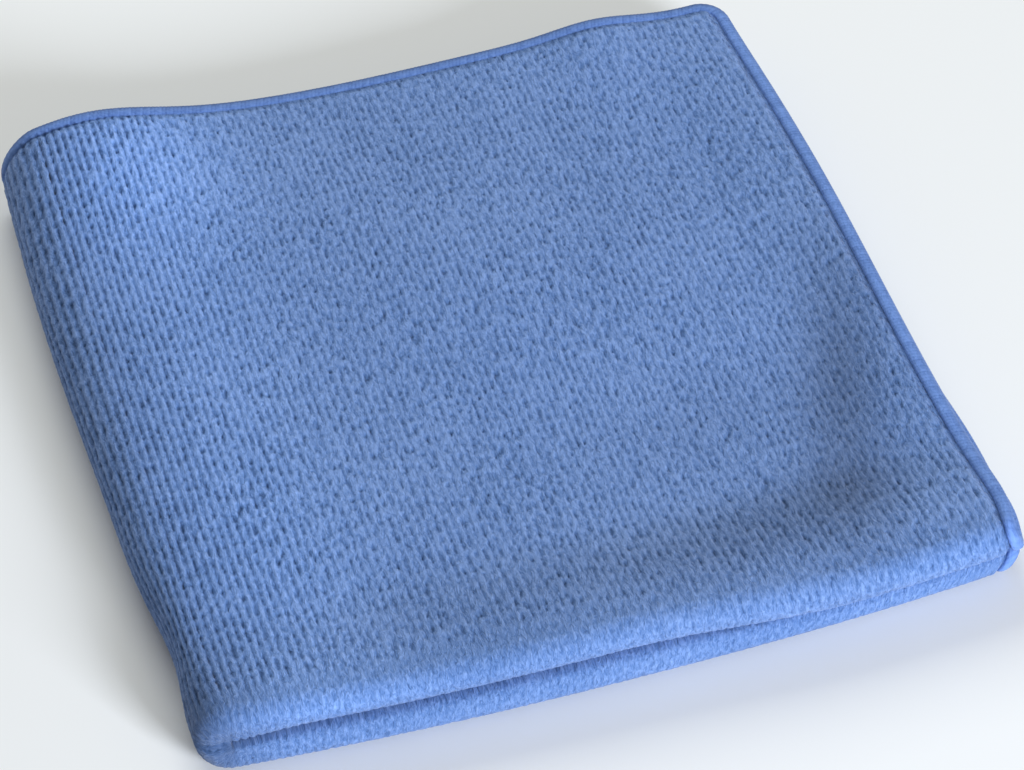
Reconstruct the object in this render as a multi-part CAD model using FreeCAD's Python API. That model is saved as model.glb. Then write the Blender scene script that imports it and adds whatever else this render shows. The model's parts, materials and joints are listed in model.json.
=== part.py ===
"""Square terry cloth folded in quarters into a four-layer hand pad.

The cloth is one square panel of looped terry with an overlocked edge all the way round.
It is folded in half towards the far side, which makes the front fold, and in half again
from the left, which makes the side fold. Millimetres, +Z up, origin at the centre of the
underside of the folded pad, +X towards the open right edge, +Y towards the open far edge.

The lower half holds layers 1 and 2 and the upper half layers 3 and 4, counted from the
table. The upper half swings about an axis along Y at the heart of the side fold.
"""
import FreeCAD, Part
import math
import os

# Driving dimensions.
CLOTH_SIDE = 400.0          # side of the flat cloth, over its edging
LAYER_THICKNESS = 4.4       # one layer of lofted terry, pile on both faces
LAYER_GAP = 0.2             # between the two layers of one half
HALF_GAP = 0.4              # between the lower and the upper half, which move apart
EDGING_WIDTH = 3.5          # width of the overlocked edging band
EDGING_THICKNESS = 2.6      # the stitches squeeze the terry to this
CORNER_RADIUS = 8.0         # outer radius of the edging at the cloth's corners
INNER_LAYER_REACH = 2.0     # layers 2 and 3 reach this much further right than 1 and 4
HINGE_CLEARANCE = 0.2       # panels stop this far right of the side fold's axis

# Sizes worked out from them.
HALF_THICKNESS = 2 * LAYER_THICKNESS + LAYER_GAP
STACK_HEIGHT = 2 * HALF_THICKNESS + HALF_GAP
FRONT_RADIUS = HALF_THICKNESS / 2
SIDE_RADIUS = STACK_HEIGHT / 2
HALF_SIDE = CLOTH_SIDE / 2

# The cloth's middle surface keeps its length, so each fold takes half its arc from a panel.
FRONT_ARC = math.pi * (LAYER_GAP + LAYER_THICKNESS) / 2
SIDE_ARC = math.pi * (SIDE_RADIUS - LAYER_THICKNESS / 2)
PANEL_LENGTH = HALF_SIDE - FRONT_ARC / 2
PANEL_WIDTH = HALF_SIDE - SIDE_ARC / 2
PAD_WIDTH = SIDE_RADIUS + PANEL_WIDTH + INNER_LAYER_REACH
PAD_LENGTH = FRONT_RADIUS + PANEL_LENGTH

X_HINGE = -PAD_WIDTH / 2 + SIDE_RADIUS
X_PANEL = X_HINGE + HINGE_CLEARANCE
X_OUTER_EDGE = PAD_WIDTH / 2 - INNER_LAYER_REACH
X_INNER_EDGE = PAD_WIDTH / 2
Y_FRONT_BEND = -PAD_LENGTH / 2 + FRONT_RADIUS
Y_FAR_EDGE = PAD_LENGTH / 2
Z_HINGE = STACK_HEIGHT / 2
HINGE_POINT = FreeCAD.Vector(X_HINGE, 0, Z_HINGE)

LAYER_FLOORS = {
    1: 0.0,
    2: LAYER_THICKNESS + LAYER_GAP,
    3: HALF_THICKNESS + HALF_GAP,
    4: HALF_THICKNESS + HALF_GAP + LAYER_THICKNESS + LAYER_GAP,
}
RIGHT_EDGES = {1: X_OUTER_EDGE, 2: X_INNER_EDGE, 3: X_INNER_EDGE, 4: X_OUTER_EDGE}
HALF_FLOORS = {"lower": 0.0, "upper": HALF_THICKNESS + HALF_GAP}

X_AXIS = FreeCAD.Vector(1, 0, 0)
Y_AXIS = FreeCAD.Vector(0, 1, 0)
Z_AXIS = FreeCAD.Vector(0, 0, 1)


def face_of(edges):
    """A flat face bounded by a list of edges that meet end to end."""
    return Part.Face(Part.Wire(edges))


def line(start, end):
    return Part.makeLine(FreeCAD.Vector(*start), FreeCAD.Vector(*end))


def arc(start, middle, end):
    points = [FreeCAD.Vector(*point) for point in (start, middle, end)]
    return Part.Arc(*points).toShape()


def terry_layer(number):
    """One quarter of the cloth, inside its edging, with its free corner rounded."""
    floor = LAYER_FLOORS[number]
    right = RIGHT_EDGES[number] - EDGING_WIDTH
    far = Y_FAR_EDGE - EDGING_WIDTH
    radius = CORNER_RADIUS - EDGING_WIDTH
    diagonal = radius * (1 - math.sqrt(0.5))
    outline = face_of([
        line((X_PANEL, Y_FRONT_BEND, floor), (right, Y_FRONT_BEND, floor)),
        line((right, Y_FRONT_BEND, floor), (right, far - radius, floor)),
        arc((right, far - radius, floor), (right - diagonal, far - diagonal, floor),
            (right - radius, far, floor)),
        line((right - radius, far, floor), (X_PANEL, far, floor)),
        line((X_PANEL, far, floor), (X_PANEL, Y_FRONT_BEND, floor)),
    ])
    return outline.extrude(Z_AXIS * LAYER_THICKNESS)


def front_fold_section(x, floor):
    """The half disc that both layers of a half make where they turn over at the front."""
    ceiling = floor + HALF_THICKNESS
    middle = floor + FRONT_RADIUS
    return face_of([
        line((x, Y_FRONT_BEND, ceiling), (x, Y_FRONT_BEND, floor)),
        arc((x, Y_FRONT_BEND, floor), (x, Y_FRONT_BEND - FRONT_RADIUS, middle),
            (x, Y_FRONT_BEND, ceiling)),
    ])


def front_fold(half):
    """The rounded front roll of one half, from the side fold to the edging."""
    mean_edge = (X_OUTER_EDGE + X_INNER_EDGE) / 2 - EDGING_WIDTH
    section = front_fold_section(X_PANEL, HALF_FLOORS[half])
    return section.extrude(X_AXIS * (mean_edge - X_PANEL))


def fold_corner():
    """The front roll carried round the side fold, from the lower half to the upper."""
    section = front_fold_section(X_HINGE, HALF_FLOORS["lower"])
    return section.revolve(HINGE_POINT, Y_AXIS, 180)


def side_fold(layer):
    """A layer carried round the left side: layer 1 becomes 4, and layer 2 becomes 3."""
    near, far = Y_FRONT_BEND, Y_FAR_EDGE - EDGING_WIDTH
    floor = LAYER_FLOORS[layer]
    ceiling = floor + LAYER_THICKNESS
    corners = [(near, floor), (far, floor), (far, ceiling), (near, ceiling)]
    points = [(X_HINGE, y, z) for y, z in corners]
    section = face_of([line(points[i], points[(i + 1) % 4]) for i in range(4)])
    return section.revolve(HINGE_POINT, Y_AXIS, 180)


def edging_section(place):
    """The edging's cross-section: square against the terry and round on its free side.

    place(across, up) gives the 3-D point at a distance across from the terry and at a
    height above the middle of the layer.
    """
    half = EDGING_THICKNESS / 2
    shoulder = EDGING_WIDTH - half
    return face_of([
        line(place(0, -half), place(shoulder, -half)),
        arc(place(shoulder, -half), place(EDGING_WIDTH, 0), place(shoulder, half)),
        line(place(shoulder, half), place(0, half)),
        line(place(0, half), place(0, -half)),
    ])


def layer_middle(number):
    return LAYER_FLOORS[number] + LAYER_THICKNESS / 2


def right_edging(number):
    """The edging along a layer's open right edge, from the front fold to the corner."""
    start = RIGHT_EDGES[number] - EDGING_WIDTH
    middle = layer_middle(number)
    section = edging_section(lambda across, up: (start + across, Y_FRONT_BEND, middle + up))
    return section.extrude(Y_AXIS * (Y_FAR_EDGE - CORNER_RADIUS - Y_FRONT_BEND))


def far_edging(number):
    """The edging along a layer's open far edge, from the side fold to the corner."""
    start = Y_FAR_EDGE - EDGING_WIDTH
    middle = layer_middle(number)
    section = edging_section(lambda across, up: (X_PANEL, start + across, middle + up))
    return section.extrude(X_AXIS * (RIGHT_EDGES[number] - CORNER_RADIUS - X_PANEL))


def corner_edging(number):
    """The edging turning a quarter circle round a layer's free corner."""
    start = RIGHT_EDGES[number] - EDGING_WIDTH
    y_centre = Y_FAR_EDGE - CORNER_RADIUS
    centre = FreeCAD.Vector(RIGHT_EDGES[number] - CORNER_RADIUS, y_centre, 0)
    middle = layer_middle(number)
    section = edging_section(lambda across, up: (start + across, y_centre, middle + up))
    return section.revolve(centre, Z_AXIS, 90)


def edging_front_turn(half):
    """The right edging carried round the front roll of one half."""
    floor = HALF_FLOORS[half]
    start = (X_OUTER_EDGE + X_INNER_EDGE) / 2 - EDGING_WIDTH
    centre = FreeCAD.Vector(0, Y_FRONT_BEND, floor + FRONT_RADIUS)
    middle = floor + LAYER_THICKNESS / 2
    section = edging_section(lambda across, up: (start + across, Y_FRONT_BEND, middle + up))
    return section.revolve(centre, X_AXIS * -1, 180)


def edging_side_turn(layer):
    """The far edging carried round the side fold."""
    start = Y_FAR_EDGE - EDGING_WIDTH
    middle = layer_middle(layer)
    section = edging_section(lambda across, up: (X_HINGE, start + across, middle + up))
    return section.revolve(HINGE_POINT, Y_AXIS, 180)


def all_parts():
    """Every sub-part by its node's name."""
    parts = {"fold_corner": fold_corner()}
    for number in LAYER_FLOORS:
        parts[f"terry_layer_{number}"] = terry_layer(number)
        parts[f"right_edging_{number}"] = right_edging(number)
        parts[f"far_edging_{number}"] = far_edging(number)
        parts[f"corner_edging_{number}"] = corner_edging(number)
    for half in HALF_FLOORS:
        parts[f"front_fold_{half}"] = front_fold(half)
        parts[f"edging_front_turn_{half}"] = edging_front_turn(half)
    for name, layer in (("outer", 1), ("inner", 2)):
        parts[f"side_fold_{name}"] = side_fold(layer)
        parts[f"edging_side_turn_{name}"] = edging_side_turn(layer)
    return parts


os.makedirs("parts", exist_ok=True)
for node, shape in sorted(all_parts().items()):
    solid = shape.Solids[0]
    if solid.Volume < 0:
        solid = solid.reversed()
    solid.exportStep(f"parts/{node}.step")
    box = solid.BoundBox
    print(f"{node:28s} {solid.Volume:10.1f} mm3  "
          f"x {box.XMin:8.2f} {box.XMax:8.2f}  y {box.YMin:8.2f} {box.YMax:8.2f}  "
          f"z {box.ZMin:6.2f} {box.ZMax:6.2f}  valid {solid.isValid()}")
print(f"pad {PAD_WIDTH:.2f} x {PAD_LENGTH:.2f} x {STACK_HEIGHT:.2f} mm, "
      f"hinge at x {X_HINGE:.3f}, z {Z_HINGE:.3f}")
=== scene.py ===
# %% [markdown]
# # A terry polishing cloth, folded in quarters
#
# The object is one square of looped microfibre terry with an overlocked edge. It is folded
# in half towards the far side, then in half again from the left, and lies as a flat pad of
# four layers. This lesson makes it the way a workroom does: a flat piece of terry is cut,
# its edge is sewn, and only then is everything folded. Every point keeps its place on the
# flat cloth, so the knitted columns run on over both folds without a break.

# %% Load the frame
import json
import math

import bpy
import numpy as np
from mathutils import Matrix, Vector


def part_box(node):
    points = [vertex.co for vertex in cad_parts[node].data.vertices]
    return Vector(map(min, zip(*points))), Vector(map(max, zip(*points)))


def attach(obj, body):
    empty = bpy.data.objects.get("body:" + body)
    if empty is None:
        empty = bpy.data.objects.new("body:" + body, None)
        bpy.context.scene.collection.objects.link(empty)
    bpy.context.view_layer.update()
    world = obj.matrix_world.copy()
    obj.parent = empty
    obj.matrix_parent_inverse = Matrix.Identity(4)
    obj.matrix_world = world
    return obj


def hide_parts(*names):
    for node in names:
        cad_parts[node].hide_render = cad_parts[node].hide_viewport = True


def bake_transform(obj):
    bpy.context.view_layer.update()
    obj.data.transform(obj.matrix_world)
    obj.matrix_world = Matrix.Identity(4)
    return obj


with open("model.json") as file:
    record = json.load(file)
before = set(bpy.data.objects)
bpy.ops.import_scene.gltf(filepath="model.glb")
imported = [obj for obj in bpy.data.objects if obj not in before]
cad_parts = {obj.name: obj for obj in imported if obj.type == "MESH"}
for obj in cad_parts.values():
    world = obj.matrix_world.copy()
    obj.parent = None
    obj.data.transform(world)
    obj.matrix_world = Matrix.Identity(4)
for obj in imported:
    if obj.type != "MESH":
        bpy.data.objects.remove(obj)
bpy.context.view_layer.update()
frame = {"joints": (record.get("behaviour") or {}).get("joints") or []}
bpy.ops.object.select_all(action="DESELECT")

# %% [markdown]
# ## Sizes
#
# The CAD model already says where each layer, fold and edging band lies, so the sizes are
# read from it and not typed again. Two lengths are the cloth's own: its side when it lies
# flat, and the distance between two columns of loops.

# %% Measure the folded pad
MM = 0.001
cloth_side = 400 * MM
column_pitch = 2.0 * MM

hinge = frame["joints"][0]
x_hinge = hinge["pos_m"][0]
layer_low, layer_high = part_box("terry_layer_1")
roll_low, roll_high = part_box("front_fold_lower")
band_low, band_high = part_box("right_edging_1")
inner_band_low, inner_band_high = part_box("right_edging_2")

layer_thickness = layer_high.z - layer_low.z
stack_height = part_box("terry_layer_4")[1].z
front_radius = (roll_high.z - roll_low.z) / 2
side_radius = stack_height / 2
y_bend = layer_low.y
y_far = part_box("far_edging_1")[1].y
y_front = roll_low.y
x_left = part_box("side_fold_outer")[0].x
x_outer = band_high.x
inner_reach = inner_band_high.x - x_outer
band_width = band_high.x - band_low.x
band_thickness = band_high.z - band_low.z
corner_radius = x_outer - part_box("far_edging_1")[1].x

half_cloth = cloth_side / 2
front_bend = half_cloth - (y_far - y_bend)
side_bend = half_cloth - (x_outer - x_hinge)
print(f"layer {layer_thickness / MM:.1f} mm, stack {stack_height / MM:.1f} mm, "
      f"front bend takes {2 * front_bend / MM:.1f} mm, side bend {2 * side_bend / MM:.1f} mm")

# %% [markdown]
# ## Folding by formula
#
# A fold is a bend with a straight panel on each side of it. A point of the flat cloth has
# three numbers: p across the cloth, q along it, and a depth under the outer face. The first
# fold turns q into a distance from the front roll and a level in the half; the second turns
# p the same way round the side fold. Because the formula takes the depth too, the inner
# face bends on a smaller radius than the outer one, as thick cloth does. The two front
# rolls press on each other, so each is fuller than a half circle where they meet, most of
# all at the left, where they become one corner.

# %% The two folds
corner_reach = 16 * MM


def fold(p, q, depth):
    """Folded place of points on the flat cloth, all arrays in metres."""
    turn = np.clip(q / front_bend, -1, 1) * math.pi / 2
    radius = front_radius - depth
    near_corner = np.exp(-(np.maximum(np.abs(p) - side_bend, 0) / corner_reach) ** 2)
    pressed = np.clip(0.4 + 0.6 * np.sin(turn), 0, 1) * (0.50 + 0.42 * near_corner)
    reach = np.maximum(np.cos(turn), 0) ** (1 - pressed)
    y = y_bend - radius * reach + np.maximum(np.abs(q) - front_bend, 0)
    level = front_radius + radius * np.sin(turn)
    wrap = (1 - np.clip(p / side_bend, -1, 1)) * math.pi / 2
    side = side_radius - level
    run = np.maximum(np.abs(p) - side_bend, 0)
    inner_share = (1 + np.sin(turn)) / 2
    run = run * (1 + inner_share * inner_reach / (half_cloth - side_bend))
    x = x_hinge - side * np.sin(wrap) + run
    z = side_radius - side * np.cos(wrap)
    return np.stack([x, y, z], axis=1)


corners = fold(np.array([-half_cloth, half_cloth]), np.array([-half_cloth, half_cloth]),
               np.zeros(2))
print("two free corners fold to", np.round(corners / MM, 1).tolist(), "mm")

# %% [markdown]
# ## How the cloth lies
#
# Real cloth doesn't fold to a sharp block. Its departures from one are a few soft swells,
# each with a place, a spread and a height. They could be pulled out by hand with
# proportional editing, but as formulas they act on every layer alike.

# %% Soft swells
def swell(value, centre, spread):
    """A bell from 0 to 1 round a centre, all three in millimetres."""
    return np.exp(-((value - centre) / spread) ** 2)


def step(value, start, end):
    t = np.clip((value - start) / (end - start), 0, 1)
    return t * t * (3 - 2 * t)


left_mm, right_mm = x_left / MM, x_outer / MM
front_mm, far_mm = y_front / MM, y_far / MM
print(f"the plain pad runs from {left_mm:.1f} to {right_mm:.1f} mm across "
      f"and from {front_mm:.1f} to {far_mm:.1f} mm along")

# %% [markdown]
# ## The top's rise and fall
#
# The stack puffs up where the stiff edging goes round the side fold and sinks just behind
# the front roll. The right edge lifts a little, and slight ripples run over all of it.


# %% Rise of the top
def crown_at(x):
    """Where the top starts to sink behind the front roll."""
    return front_mm + 3.5 + 0.02 * (x - left_mm)


def rise(x, y):
    """How far the top stands above its plain height, all in millimetres."""
    far_left = 6.8 * swell(x, -78, 24.5) * swell(y, far_mm, 38)
    far_middle = -0.6 * swell(x, -17, 31) * swell(y, far_mm, 28)
    far_right = 2.7 * swell(x, 61.5, 15) * swell(y, far_mm, 22)
    far_tip = 0.9 * swell(x, 96, 9) * swell(y, far_mm, 12)
    crown = crown_at(x)
    depth = (1.4 + 2.6 * step(x, -50, 75)) * (1 - 0.5 * step(x, 72, 98))
    behind_roll = -depth * step(y, crown, crown + 27) * (1 - step(y, crown + 27, crown + 125))
    right_lip = 2.2 * step(x, 68, 98) * swell(y, -10, 75)
    ripple = 0.3 * (np.sin(x / 17 + 1.3) * np.sin(y / 23 + 0.4) + np.sin((x + 1.7 * y) / 31))
    return far_left + far_middle + far_right + far_tip + behind_roll + right_lip + ripple


print(f"the top stands {rise(-80, 100):.1f} mm proud at the far left, "
      f"{rise(60, -70):.1f} mm behind the front roll")

# %% [markdown]
# ## Sideways give
#
# The side fold necks in at the middle and bulges near the front, the front roll bows out,
# and the layers slip a little past each other at the right. The swells bend the space that
# the cloth lies in, and not one layer, so layers never cross. Beside the side fold only the
# upper half puffs up, and the bulges start at the hinge line, so that the halves part
# cleanly when the cloth is opened.


# %% How the cloth lies
def lie(points):
    """Moves folded points from the plain block to how the cloth really lies."""
    x, y, z = points.T / MM
    height = z / (stack_height / MM)
    upper = step(height, 0.45, 0.55)
    girth = 0.4 + 0.6 * np.sin(math.pi * np.clip(height, 0, 1))
    at_left = step(x, x_hinge / MM, left_mm)
    at_right = swell(x, right_mm, 20)
    at_front = swell(y, front_mm, 20)
    bulge_left = (2.9 * swell(y, -71, 19) - 2.7 * swell(y, 45, 65)) * at_left * girth
    wave_right = 0.9 * np.sin(y / 29) * (0.4 + 0.6 * upper) * at_right
    bulge_right = 1.6 * swell(y, -64, 20) * (1 - upper) * at_right
    stack_right = (0.2 + 1.3 * swell(height, 0.5, 0.24)) * at_right
    round_left = 1.0 * swell(x, left_mm, 11) * swell(y, front_mm, 11)
    round_right = -2.3 * swell(x, right_mm, 7.5) * swell(y, front_mm, 7.5)
    set_back = 1.7 - 3.0 * step(x, 0, 60)
    front = at_front * (set_back * upper - 4.0 * (1 - (x / 96) ** 2))
    far = 0.9 * swell(y, far_mm, 30) * swell(x, -70, 40) + 0.4 * swell(y, far_mm, 30)
    droop = -1.6 * step(x, 0, 60) * swell(y, front_mm, 9) * swell(height, 0.5, 0.3)
    lifted = 0.2 * height + 0.8 * np.clip(2 * height - 1, 0, None)
    share = height + (lifted - height) * swell(x, -92, 24)
    x = x + bulge_left + wave_right + bulge_right + stack_right + round_left + round_right
    return np.stack([x, y + front + far, z + rise(x, y) * share + droop], axis=1) * MM


front_middle = lie(np.array([[0, y_front, stack_height / 2]]))[0]
print(f"the front roll bows out to y {front_middle[1] / MM:.1f} mm")

# %% [markdown]
# ## The pile
#
# Warp-knitted terry has its loops in columns, and no two loops are quite alike. The pile is
# modelled as real relief: a shallow furrow between two columns, and in the furrow a row of
# deep narrow pits, one to each loop, all of different length and pushed off place by a fixed
# random amount. Near the side fold the columns keep better order. A hash gives the random
# numbers, so the same cloth comes out every time.

# %% Columns and rows
loop_length = 2.4 * MM
pile_relief = 0.8 * MM
wrap_columns = 14
bend_loops = 6
half_columns = 93
crowded_reach = 7 * MM


def column_of(p):
    """Column coordinate on the cloth: whole numbers are the gaps between columns."""
    wrap = np.clip(p / side_bend, -1, 1) * wrap_columns / 2
    run = np.sign(p) * np.maximum(np.abs(p) - side_bend, 0) / column_pitch
    return wrap + run


def loop_of(q):
    """Loop coordinate along the columns, with more loops where the roll's outside is long."""
    bend = np.clip(q / front_bend, -1, 1) * bend_loops / 2
    run = np.sign(q) * np.maximum(np.abs(q) - front_bend, 0) / loop_length
    return bend + run


columns_across = column_of(np.array([-half_cloth, half_cloth]))
print(f"the cloth has {columns_across[1] - columns_across[0]:.0f} columns of loops")

# %% [markdown]
# ## Loops
#
# Each loop leaves a pit beside it in the furrow. A point looks at the nine nearest pits and
# takes the deepest, so pits of neighbouring loops can overlap as they do in real pile.


# %% Loops
def chance(a, b, seed):
    """A fixed random number from 0 to 1 for each pair of whole numbers."""
    mixed = np.sin(a * 127.1 + b * 311.7 + seed * 74.7) * 43758.5453
    return mixed - np.floor(mixed)


def loops(column, along):
    """Height of the pile from 0 to 1 at places given in columns and loops."""
    gap = np.round(column)
    order = 1 - step(np.abs(column), 7, 30)
    stray = 0.27 + 0.13 * np.sin(column / 7.3 + along / 5.1) * np.sin(along / 8.7 - column / 11)
    stray = stray * (1 - 0.5 * order)
    deepest = np.zeros(column.shape)
    for column_step in (-1, 0, 1):
        number = gap + column_step
        shifted = along + chance(number, 0, 1)
        for loop_step in (-1, 0, 1):
            loop = np.floor(shifted) + loop_step
            off_column = (chance(number, loop, 2) - 0.5) * 2 * stray
            off_loop = (chance(number, loop, 3) - 0.5) * 0.9
            width = 0.17 + 0.10 * chance(number, loop, 4)
            length = 0.26 + 0.30 * chance(number, loop, 5)
            across = (column - number - off_column) / width
            lengthwise = (shifted - loop - 0.5 - off_loop) / length
            pit = np.exp(-across ** 2 - lengthwise ** 2)
            deepest = np.maximum(deepest, pit * (0.35 + 0.65 * chance(number, loop, 6)))
    furrow = 0.5 + 0.5 * np.cos(2 * math.pi * column)
    return 1 - 0.80 * deepest - (0.14 + 0.22 * order) * furrow


def pile(p, q):
    """Pile height from 0, the ground, to 1, the tallest loop.

    Columns can't all go round the tight corner where both folds meet, so there the front
    rolls' columns run straight on to the left and the rest end under them.
    """
    turn = np.clip(q / front_bend, -1, 1) * math.pi / 2
    radius = side_radius - front_radius * (1 + np.sin(turn))
    column, along = column_of(p), loop_of(q)
    ordered = loops(column, along)
    beyond = np.maximum(np.abs(p) - side_bend, 0)
    x, _, z = fold(p, q, 0 * p).T
    crowded = loops((x - x_hinge) / column_pitch + wrap_columns / 2, z / loop_length)
    share = step(-beyond, -crowded_reach, 0) * step(radius / side_radius, 0.95, 0.7)
    share = share * step(-q, -2 * front_bend, -front_bend)
    fuzz = 0.3 * (chance(np.round(column * 4), np.round(along * 3), 5) - 0.5)
    return np.clip(ordered + (crowded - ordered) * share + fuzz, 0, 1)


sample = pile(np.linspace(-0.1, -0.05, 5000), np.linspace(0, 0.1, 5000))
print(f"pile from {sample.min():.2f} to {sample.max():.2f}, mean {sample.mean():.2f}")

# %% [markdown]
# ## Cutting the terry
#
# Each stretch of cloth starts as a flat slab: a fine grid for the outer face with its pile,
# a coarse grid for the hidden inner face, and a strip bridged between their rims. It could
# be one grid with a Solidify modifier, but that would give the hidden face as many points
# as the visible one. The rims are marked sharp, so that a seam between two pieces doesn't
# show as a line. The outer quarters get the finest grid, because they are what one sees.

# %% Cut one slab
tuck = 0.6 * MM
edge_line = half_cloth - band_width
panel_end = edge_line + tuck
points_per_column = 4
rows_outer = 224
rows_bend = 20
rows_inner = 130
row_places = np.concatenate([
    np.linspace(-panel_end, -front_bend, rows_outer + 1)[:-1],
    np.linspace(-front_bend, front_bend, rows_bend + 1)[:-1],
    np.linspace(front_bend, panel_end, rows_inner + 1),
])
rows_to_seam = rows_outer + rows_bend


def select_only(obj):
    bpy.ops.object.select_all(action="DESELECT")
    obj.select_set(True)
    bpy.context.view_layer.objects.active = obj


def read_points(mesh):
    flat = np.empty(len(mesh.vertices) * 3)
    mesh.vertices.foreach_get("co", flat)
    return flat.reshape(-1, 3)


def write_points(mesh, points):
    mesh.vertices.foreach_set("co", np.asarray(points, dtype=np.float32).ravel())
    mesh.update()


def flat_grid(name, p_from, p_to, columns, q_places, z):
    """A grid of flat cloth from p_from to p_to, with its rows at q_places."""
    rows = len(q_places) - 1
    bpy.ops.mesh.primitive_grid_add(x_subdivisions=columns, y_subdivisions=rows, size=1)
    grid = bpy.context.active_object
    grid.name = name
    points = read_points(grid.data)
    row = np.round((points[:, 1] + 0.5) * rows).astype(int)
    points[:, 0] = p_from + (points[:, 0] + 0.5) * (p_to - p_from)
    points[:, 1] = q_places[row]
    points[:, 2] = z
    write_points(grid.data, points)
    return grid


def cut_slab(name, p_from, p_to, columns, first_row, last_row):
    """A closed flat slab of terry: fine outer face, coarse inner face, bridged rim."""
    places = row_places[first_row:last_row + 1]
    outer = flat_grid(name, p_from, p_to, columns * points_per_column, places, 0)
    coarse = np.interp(np.linspace(0, 1, len(places) // 4 + 1),
                       np.linspace(0, 1, len(places)), places)
    inner = flat_grid(name + "_inner", p_from, p_to, max(8, columns // 3), coarse,
                      -layer_thickness)
    bpy.ops.object.select_all(action="DESELECT")
    inner.select_set(True)
    outer.select_set(True)
    bpy.context.view_layer.objects.active = outer
    bpy.ops.object.join()
    bpy.ops.object.mode_set(mode="EDIT")
    bpy.ops.mesh.select_all(action="DESELECT")
    bpy.ops.mesh.select_mode(type="EDGE")
    bpy.ops.mesh.select_non_manifold()
    bpy.ops.mesh.mark_sharp()
    bpy.ops.mesh.bridge_edge_loops()
    bpy.ops.mesh.select_all(action="SELECT")
    bpy.ops.mesh.normals_make_consistent(inside=False)
    bpy.ops.object.mode_set(mode="OBJECT")
    return outer


# %% [markdown]
# ## Folding a slab
#
# The flat slab keeps its place on the cloth in a UV map and its pile height in an
# attribute, which the material reads later. Then each point gets its depth under the outer
# face and goes through the fold and the swells. Towards the edging the pile is pulled down
# by the overlock stitches, which leaves a valley beside the band, and since the pile height
# also sets the colour, the valley gets painted shade. A second attribute keeps painted light
# and shade: lighter at the far left, darker on the side fold, behind the front roll and along
# the right hem, and partly the nap's brushing. On the front rolls the cloth is stretched, so
# its pile stands more even, least so on the right of the upper roll, where the folds leave it
# slack; the evener pile also paints less shade in the pits there, where the front light falls
# full on the rolls.

# %% Fold one slab
valley_depth = 1.1 * MM
valley_reach = 1.9 * MM
roll_reach = 8 * MM
mean_pile = 0.72


def paint_light_and_nap(points):
    """How bright the colour is, around 1: painted light and shade where the light falls on the
    pad, and partly the nap's brushing.
    """
    x, y, z = points.T / MM
    top = step(z / (stack_height / MM), 0.55, 0.85)
    # Painted light: brighter at the far left and along the left of the top.
    painted_far_left_light = 0.29 * swell(x, -69, 22) * swell(y, 78, 25) + 0.19 * swell(x, -67, 22)
    # Painted shade along the right hem.
    painted_hem_shade = 0.40 * swell(x, 91 + 0.33 * y, 12) * swell(y, -42, 42)
    # Painted shade in a band behind the front roll, where the top slopes away from the front
    # light.
    dip = crown_at(x) + 12 + 7 * step(x, 20, 70)
    behind_roll = (0.14 + 0.16 * step(x, -20, 50)) * swell(y, dip, 12)
    behind_roll = behind_roll * step(x, -78, -45) * (1 - 0.8 * step(x, 62, 86))
    # Painted shade on the side fold and its front corner, which turn away from the lights.
    painted_fold_shade = 0.21 * swell(x, -101, 13) + 0.22 * swell(x, -98, 12) * swell(y, -96, 16)
    # Painted shade in a hollow behind the front right.
    painted_hollow_shade = 0.12 * swell(x, 48, 34) * swell(y, -46, 15)
    # Painted light in two small patches, at the left and at the front right.
    painted_light_patches = 0.10 * swell(x, -75, 16) * swell(y, -46, 28)
    painted_light_patches = painted_light_patches + 0.09 * swell(x, 78, 15) * swell(y, -86, 8)
    return 1 + (painted_far_left_light + painted_light_patches - painted_hem_shade - behind_roll - painted_hollow_shade) * top - painted_fold_shade


def keep_flat_place(obj, across, along, height, painted_light_and_nap):
    """Stores each point's place on the flat cloth, its pile height, and its painted light and
    shade with the nap.
    """
    mesh = obj.data
    for old in list(mesh.uv_layers):
        mesh.uv_layers.remove(old)
    layer = mesh.uv_layers.new(name="cloth")
    corner_points = np.empty(len(mesh.loops), dtype=np.int32)
    mesh.loops.foreach_get("vertex_index", corner_points)
    uv = np.stack([across, along], axis=1)[corner_points] / cloth_side + 0.5
    layer.data.foreach_set("uv", uv.astype(np.float32).ravel())
    for name, values in (("pile", height), ("painted_light_and_nap", painted_light_and_nap)):
        attribute = mesh.attributes.new(name, "FLOAT", "POINT")
        attribute.data.foreach_set("value", values.astype(np.float32))


def fold_slab(obj):
    points = read_points(obj.data)
    p, q = points[:, 0], points[:, 1]
    outer = points[:, 2] > -layer_thickness / 2
    to_edge = edge_line - np.maximum(np.abs(p), np.abs(q))
    valley = 1 - step(to_edge, 0.2 * MM, valley_reach)
    valley = valley * np.where(np.abs(q) > np.abs(p), 0.55, 1)
    # Evener pile on the front rolls: partly stretched cloth, partly less painted shade in the
    # pits where the front light falls full on them.
    tightness = 0.65 - 0.30 * step(-p / half_cloth, 0.35, 0.75)
    stretch_and_front_light = tightness * step(front_bend + roll_reach - np.abs(q), 0, roll_reach)
    smoothed = pile(p, q) * (1 - stretch_and_front_light) + mean_pile * stretch_and_front_light
    # A lower pile in the valley beside the band also darkens its colour: painted shade.
    height = np.where(outer, smoothed * (1 - 0.6 * valley), 0.3)
    depth = np.where(outer, (1 - height) * pile_relief, layer_thickness)
    depth = np.where(outer, depth + (valley_depth - depth) * valley,
                     depth - valley_depth * valley)
    folded = fold(p, q, depth)
    keep_flat_place(obj, column_of(p) * column_pitch, loop_of(q) * loop_length, height,
                    paint_light_and_nap(folded))
    write_points(obj.data, lie(folded))
    select_only(obj)
    bpy.ops.object.shade_smooth()
    return obj


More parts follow.
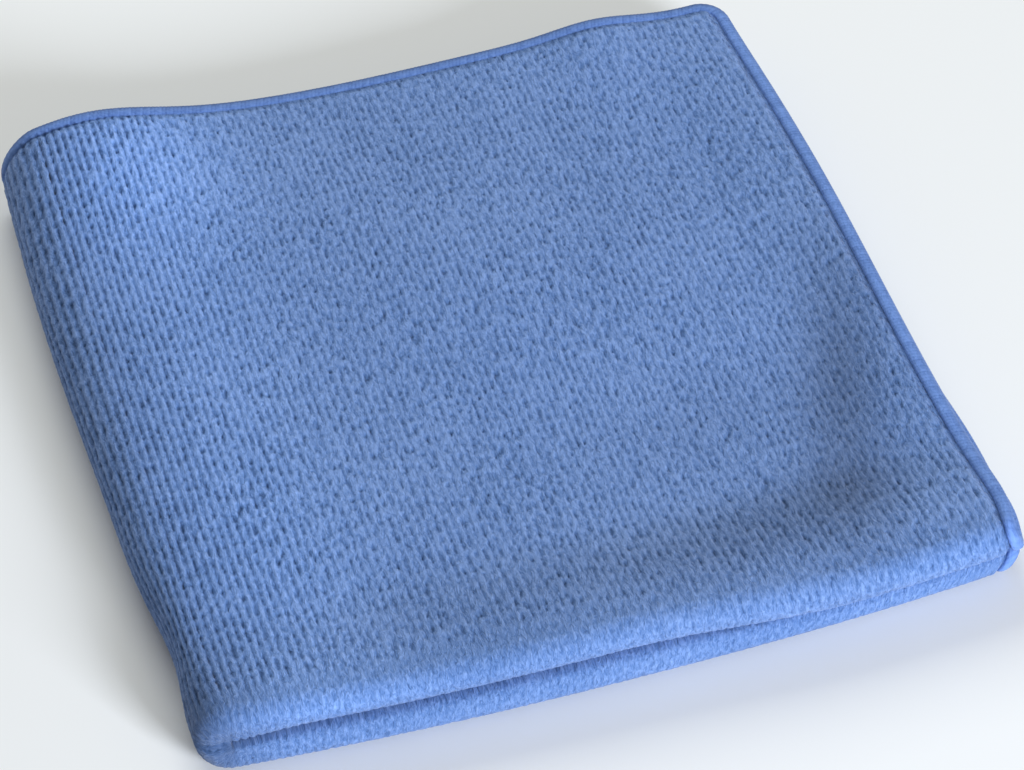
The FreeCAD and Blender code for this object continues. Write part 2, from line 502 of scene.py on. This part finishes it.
last = len(row_places) - 1
terry_top = fold_slab(cut_slab("terry_top", -panel_end, -side_bend, half_columns,
                               0, rows_to_seam))
terry_upper_inner = fold_slab(cut_slab("terry_upper_inner", -panel_end, -side_bend,
                                       half_columns, rows_to_seam, last))
terry_base = fold_slab(cut_slab("terry_base", side_bend, panel_end, half_columns,
                                0, rows_to_seam))
terry_lower_inner = fold_slab(cut_slab("terry_lower_inner", side_bend, panel_end,
                                       half_columns, rows_to_seam, last))
terry_side = fold_slab(cut_slab("terry_side", -side_bend, side_bend, wrap_columns, 0, last))
terry_pieces = [terry_top, terry_upper_inner, terry_base, terry_lower_inner, terry_side]
for piece in terry_pieces:
    print(piece.name, len(piece.data.vertices), "points", len(piece.data.polygons), "faces")

# %% [markdown]
# ## The overlocked edging
#
# An overlock machine wraps textured thread over the raw edge, so the edging is a band of
# close, slightly slanted stitches, round on its free side. It could be hundreds of separate
# stitches, but they are so close that a ridged tube has the same shape with far fewer
# faces. A grid is rolled into a tube: its rows are stations along the edge, three to a
# stitch, and its columns go round the band. Its colour holds painted shade in the gaps
# between stitches and on thin stitches, on the band's outer side, where its stitches turn
# down, and along the far edge.

# %% Sew one stretch of edging
stitch_pitch = 1.0 * MM
stitch_relief = 0.045 * MM
stitch_slant = 0.9 * MM
rings_per_stitch = 3
around = 16
band_puff = 1.05
band_lift = 0.7 * MM


def band_section(share):
    """The band's section for 0 to 1 round it: distance from the terry, height above middle."""
    angle = 2 * math.pi * share
    middle = band_width / 2
    across = middle - np.cos(angle) * middle
    plump = np.sign(np.sin(angle)) * np.abs(np.sin(angle)) ** 0.6
    return across, plump * band_thickness / 2 * band_puff


def edge_route(side, along):
    """Place and outward direction at a distance along the edge of one half.

    The route starts on the far edge at the side fold, runs to the corner, along the open
    side round the front fold, and back along the other far edge. side is -1 or 1.
    """
    inner = corner_radius - band_width
    straight = half_cloth - corner_radius - side_bend
    bend = inner * math.pi / 2
    open_side = 2 * (half_cloth - corner_radius)
    marks = np.cumsum([0, straight, bend, open_side, bend, straight])
    first = np.clip(along, marks[0], marks[1])
    turn_1 = (np.clip(along, marks[1], marks[2]) - marks[1]) / inner
    middle = np.clip(along, marks[2], marks[3]) - marks[2]
    turn_2 = (np.clip(along, marks[3], marks[4]) - marks[3]) / inner
    last_run = np.clip(along, marks[4], marks[5]) - marks[4]
    turn = turn_1 + turn_2
    p = side_bend + first - last_run + inner * (np.sin(turn_1) - (1 - np.cos(turn_2)))
    q = -edge_line + middle + inner * ((1 - np.cos(turn_1)) + np.sin(turn_2))
    return side * p, q, side * np.sin(turn), -np.cos(turn), marks[-1]


def sew(name, route, length):
    """A ridged tube of stitches along route, a function of the distance along it."""
    stations = int(round(length / stitch_pitch)) * rings_per_stitch
    bpy.ops.mesh.primitive_grid_add(x_subdivisions=stations, y_subdivisions=around, size=1)
    band = bpy.context.active_object
    band.name = name
    points = read_points(band.data)
    station = np.round((points[:, 0] + 0.5) * stations)
    share = points[:, 1] + 0.5
    across, up = band_section(share)
    slant = stitch_slant * (across / band_width - 0.5)
    run = station / stations * (length + stitch_slant) - stitch_slant / 2
    along = np.clip(run + slant, 0, length)
    p, q, p_out, q_out = route(along)[:4]
    between = np.where(station % rings_per_stitch == 0, 1.0, 0.0)
    thin = chance(np.floor(station / rings_per_stitch), 0, 7)
    shrink = (between * 0.9 + thin * 0.35) * stitch_relief
    middle = band_width / 2
    across = across - (across - middle) / middle * shrink
    up = up - np.sign(up) * np.minimum(np.abs(up), shrink)
    depth = layer_thickness / 2 - band_lift - up
    # Painted shade: darker in the gaps between stitches and on thin stitches.
    painted_stitch_shade = 0.9 - 0.25 * between - 0.35 * thin
    # Painted shade on the band's outer side, where the stitches turn down, and along the far
    # edge.
    outer_half = step(across / band_width, 0.40, 0.85)
    painted_light_and_nap = 1 - 0.27 * outer_half - 0.25 * np.abs(q_out)
    keep_flat_place(band, share * 2 * band_width, along, painted_stitch_shade, painted_light_and_nap)
    write_points(band.data, lie(fold(p + p_out * across, q + q_out * across, depth)))
    select_only(band)
    bpy.ops.object.mode_set(mode="EDIT")
    bpy.ops.mesh.select_all(action="SELECT")
    bpy.ops.mesh.remove_doubles(threshold=1e-6)
    bpy.ops.mesh.select_all(action="DESELECT")
    bpy.ops.mesh.select_mode(type="EDGE")
    bpy.ops.mesh.select_non_manifold()
    bpy.ops.mesh.mark_sharp()
    bpy.ops.mesh.edge_face_add()
    bpy.ops.mesh.select_all(action="SELECT")
    bpy.ops.mesh.normals_make_consistent(inside=False)
    bpy.ops.object.mode_set(mode="OBJECT")
    bpy.ops.object.shade_smooth()
    return band


def side_route(q_sign):
    """The far edge round the side fold: q_sign -1 is the outer layer and 1 the inner."""
    def route(along):
        p = along - side_bend
        return p, q_sign * edge_line + 0 * p, 0 * p, q_sign + 0 * p
    return route


route_length = edge_route(1, np.zeros(1))[4]
edging_upper = sew("edging_upper", lambda along: edge_route(-1, along), route_length)
edging_lower = sew("edging_lower", lambda along: edge_route(1, along), route_length)
edging_side_outer = sew("edging_side_outer", side_route(-1), 2 * side_bend)
edging_side_inner = sew("edging_side_inner", side_route(1), 2 * side_bend)
edging_pieces = [edging_upper, edging_lower, edging_side_outer, edging_side_inner]
print(f"each half has {route_length / MM:.0f} mm of edging, "
      f"{round(route_length / stitch_pitch)} stitches")

# %% [markdown]
# ## Yarn
#
# Both materials are the same dyed microfibre, so one node group gives its fine look: a
# mottle where the fibres took more or less dye, and the strands of single loops, drawn out
# along the columns. The group reads the cloth's own map, so strands follow it round a fold.

# %% Yarn node group
def add_socket(group, name, direction, value=None):
    made = group.interface.new_socket(name=name, in_out=direction,
                                      socket_type="NodeSocketFloat")
    if value is not None:
        made.default_value = value


def yarn_group():
    group = bpy.data.node_groups.new("dyed_yarn", "ShaderNodeTree")
    add_socket(group, "Strand Scale", "INPUT", 300.0)
    add_socket(group, "Mottle Scale", "INPUT", 40.0)
    add_socket(group, "Mottle", "OUTPUT")
    add_socket(group, "Strands", "OUTPUT")
    nodes, links = group.nodes, group.links
    inputs = nodes.new("NodeGroupInput")
    outputs = nodes.new("NodeGroupOutput")
    place = nodes.new("ShaderNodeTexCoord")
    stretch = nodes.new("ShaderNodeMapping")
    stretch.inputs["Scale"].default_value = (1.6, 0.6, 1)
    mottle = nodes.new("ShaderNodeTexNoise")
    mottle.inputs["Detail"].default_value = 5
    strands = nodes.new("ShaderNodeTexNoise")
    strands.inputs["Detail"].default_value = 3
    strands.inputs["Roughness"].default_value = 0.65
    strands.inputs["Distortion"].default_value = 0.8
    links.new(place.outputs["Object"], mottle.inputs["Vector"])
    links.new(place.outputs["UV"], stretch.inputs["Vector"])
    links.new(stretch.outputs["Vector"], strands.inputs["Vector"])
    links.new(inputs.outputs["Mottle Scale"], mottle.inputs["Scale"])
    links.new(inputs.outputs["Strand Scale"], strands.inputs["Scale"])
    links.new(mottle.outputs["Fac"], outputs.inputs["Mottle"])
    links.new(strands.outputs["Fac"], outputs.inputs["Strands"])
    return group


yarn = yarn_group()
print("yarn group:", len(yarn.nodes), "nodes")

# %% [markdown]
# ## Terry and edging finishes
#
# The terry's colour is painted deep blue in the gaps between loops, as painted shade, and
# pale on the loop tips, as a painted highlight. The pile attribute says how high each point
# stands, the strands break it up, and a colour ramp turns the sum into that colour. A second
# attribute makes the colour lighter or darker with painted light and shade. Sheen gives the
# soft edge glow that fine fibres have. The edging thread is the same dye, a little purer,
# because its smooth stitches hold no shadow.

# %% Materials
def sum_of(nodes, links, first, second, share):
    """A node that adds share times the second value to the first."""
    total = nodes.new("ShaderNodeMath")
    total.operation = "MULTIPLY_ADD"
    total.inputs[1].default_value = share
    links.new(second, total.inputs[0])
    links.new(first, total.inputs[2])
    return total.outputs[0]


def cloth_material(name, colours, strand_scale, bump_depth, sheen, rough, mottle_share):
    material = bpy.data.materials.new(name)
    material.use_nodes = True
    nodes, links = material.node_tree.nodes, material.node_tree.links
    shader = nodes["Principled BSDF"]
    shader.inputs["Roughness"].default_value = rough
    shader.inputs["Sheen Weight"].default_value = sheen
    shader.inputs["Sheen Roughness"].default_value = 0.5
    shader.inputs["Sheen Tint"].default_value = (0.75, 0.82, 1.0, 1.0)
    shader.inputs["Specular IOR Level"].default_value = 0.1
    fibre = nodes.new("ShaderNodeGroup")
    fibre.node_tree = yarn
    fibre.inputs["Strand Scale"].default_value = strand_scale
    fibre.inputs["Mottle Scale"].default_value = 38
    height = nodes.new("ShaderNodeAttribute")
    height.attribute_name = "pile"
    relief = sum_of(nodes, links, height.outputs["Fac"], fibre.outputs["Strands"], 1.7)
    shade = sum_of(nodes, links, relief, fibre.outputs["Mottle"], mottle_share)
    ramp = nodes.new("ShaderNodeMapRange")
    ramp.inputs["From Min"].default_value = 1.05
    ramp.inputs["From Max"].default_value = 2.17
    ramp.inputs["To Min"].default_value = 0
    ramp.inputs["To Max"].default_value = 1
    # The ramp turns pile height into colour: painted shade in the pits, a painted highlight on
    # the loop tips.
    dye_and_painted_pile_shade = nodes.new("ShaderNodeValToRGB")
    dye_and_painted_pile_shade.color_ramp.elements[0].color = colours[0]
    dye_and_painted_pile_shade.color_ramp.elements[1].color = colours[2]
    dye_and_painted_pile_shade.color_ramp.elements.new(0.5).color = colours[1]
    links.new(shade, ramp.inputs["Value"])
    links.new(ramp.outputs["Result"], dye_and_painted_pile_shade.inputs["Fac"])
    # The second attribute scales the colour's value: painted light and shade, partly nap.
    painted_light_and_nap = nodes.new("ShaderNodeAttribute")
    painted_light_and_nap.attribute_name = "painted_light_and_nap"
    dye_with_painted_light = nodes.new("ShaderNodeHueSaturation")
    links.new(painted_light_and_nap.outputs["Fac"], dye_with_painted_light.inputs["Value"])
    links.new(dye_and_painted_pile_shade.outputs["Color"], dye_with_painted_light.inputs["Color"])
    links.new(dye_with_painted_light.outputs["Color"], shader.inputs["Base Color"])
    bump = nodes.new("ShaderNodeBump")
    bump.inputs["Strength"].default_value = 0.8
    bump.inputs["Distance"].default_value = bump_depth
    links.new(fibre.outputs["Strands"], bump.inputs["Height"])
    links.new(bump.outputs["Normal"], shader.inputs["Normal"])
    return material


terry = cloth_material(
    "blue_terry",
    [(0.022, 0.060, 0.170, 1), (0.095, 0.190, 0.440, 1), (0.215, 0.345, 0.680, 1)],
    strand_scale=400, bump_depth=0.7 * MM, sheen=0.25, rough=0.95, mottle_share=0.35)
thread = cloth_material(
    "blue_overlock_thread",
    [(0.085, 0.170, 0.450, 1), (0.150, 0.275, 0.640, 1), (0.205, 0.350, 0.760, 1)],
    strand_scale=600, bump_depth=0.25 * MM, sheen=0.15, rough=0.75, mottle_share=0.25)
for piece in terry_pieces:
    piece.data.materials.append(terry)
for piece in edging_pieces:
    piece.data.materials.append(thread)
print("finishes:", terry.name, "and", thread.name)

# %% [markdown]
# ## Riding on the frame
#
# The lower half stays, and the upper half swings over to the left about the side fold. The
# terry and edging of each half ride on their body, and the CAD parts they stand for are
# hidden. What goes round the side fold rides on neither: its transform is baked into its
# points, and it does not bend between the halves.

# %% Ride, hide and bake
for piece in (terry_base, terry_lower_inner, edging_lower):
    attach(piece, "lower_half")
for piece in (terry_top, terry_upper_inner, edging_upper):
    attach(piece, "upper_half")
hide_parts("terry_layer_4", "front_fold_upper")
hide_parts("terry_layer_3")
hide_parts("terry_layer_2")
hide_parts("terry_layer_1", "front_fold_lower")
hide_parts("side_fold_outer", "side_fold_inner", "fold_corner")
for edging, layers, turn in ((edging_lower, (1, 2), "lower"), (edging_upper, (3, 4), "upper")):
    for layer in layers:
        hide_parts(f"right_edging_{layer}", f"far_edging_{layer}",
                    f"corner_edging_{layer}")
    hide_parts(f"edging_front_turn_{turn}")
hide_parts("edging_side_turn_outer")
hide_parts("edging_side_turn_inner")

for piece in (terry_side, edging_side_outer, edging_side_inner):
    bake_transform(piece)

# %% [markdown]
# ## Floor
#
# The cloth lies on a plain pale floor. The floor is set half a millimetre low, so that the
# two never share a surface.

# %% Floor
floor_size = 6
floor_drop = 0.5 * MM
bpy.ops.mesh.primitive_plane_add(size=floor_size, location=(0, 0, -floor_drop))
floor = bpy.context.active_object
floor.name = "floor"
paper = bpy.data.materials.new("pale_floor")
paper.use_nodes = True
paper_shader = paper.node_tree.nodes["Principled BSDF"]
paper_shader.inputs["Base Color"].default_value = (0.86, 0.87, 0.88, 1)
paper_shader.inputs["Roughness"].default_value = 0.8
floor.data.materials.append(paper)
print("floor laid", floor_drop / MM, "mm below the cloth")

# %% [markdown]
# ## Lights
#
# A low light from the front brightens the rolls of the front fold and grazes the top, so
# that its swells show. A broad one from behind lights the top, and a weak sky fills the
# shadows. The side fold turns away from both and stays dark, and painted shade in its
# colour makes it darker still.


# %% Lights
def soft_light(name, azimuth, elevation, distance, size, power, colour):
    """A square soft light that looks at the pad, its place given in degrees and metres."""
    turn, tilt = math.radians(azimuth), math.radians(elevation)
    place = (distance * math.sin(turn) * math.cos(tilt),
             -distance * math.cos(turn) * math.cos(tilt),
             distance * math.sin(tilt))
    bpy.ops.object.light_add(type="AREA", location=place,
                             rotation=(math.pi / 2 - tilt, 0, turn))
    light = bpy.context.active_object
    light.name = name
    light.data.size = size
    light.data.energy = power
    light.data.color = colour


soft_light("front_light", 20, 20, 1.4, 0.40, 24.5, (0.87, 0.92, 1.0))
soft_light("back_light", 180, 42, 1.4, 0.80, 11, (0.97, 1.0, 0.96))
world = bpy.data.worlds.new("studio")
bpy.context.scene.world = world
world.use_nodes = True
world.node_tree.nodes["Background"].inputs["Color"].default_value = (1.0, 0.99, 0.96, 1)
world.node_tree.nodes["Background"].inputs["Strength"].default_value = 0.27
bpy.context.scene.view_settings.view_transform = "Standard"
print("two soft lights and a weak sky")

# %% [markdown]
# ## Camera
#
# The pad is seen from the front and a little from its left, from half way up, with a long
# lens that keeps its sides nearly parallel.

# %% Camera
view_azimuth = math.radians(-18.0)
view_elevation = math.radians(45.7)
view_distance = 791.7 * MM
aim = (4.9 * MM, -4.3 * MM, 0)

bpy.ops.object.camera_add()
camera = bpy.context.active_object
camera.name = "camera"
camera.data.lens = 112
camera.data.sensor_width = 36
camera.data.clip_start = 0.01
back = (math.sin(view_azimuth) * math.cos(view_elevation),
        -math.cos(view_azimuth) * math.cos(view_elevation),
        math.sin(view_elevation))
camera.location = [a + b * view_distance for a, b in zip(aim, back)]
camera.rotation_euler = (math.pi / 2 - view_elevation, 0, view_azimuth)
bpy.context.scene.camera = camera
print(f"camera {view_distance / MM:.0f} mm away with a {camera.data.lens:.0f} mm lens")
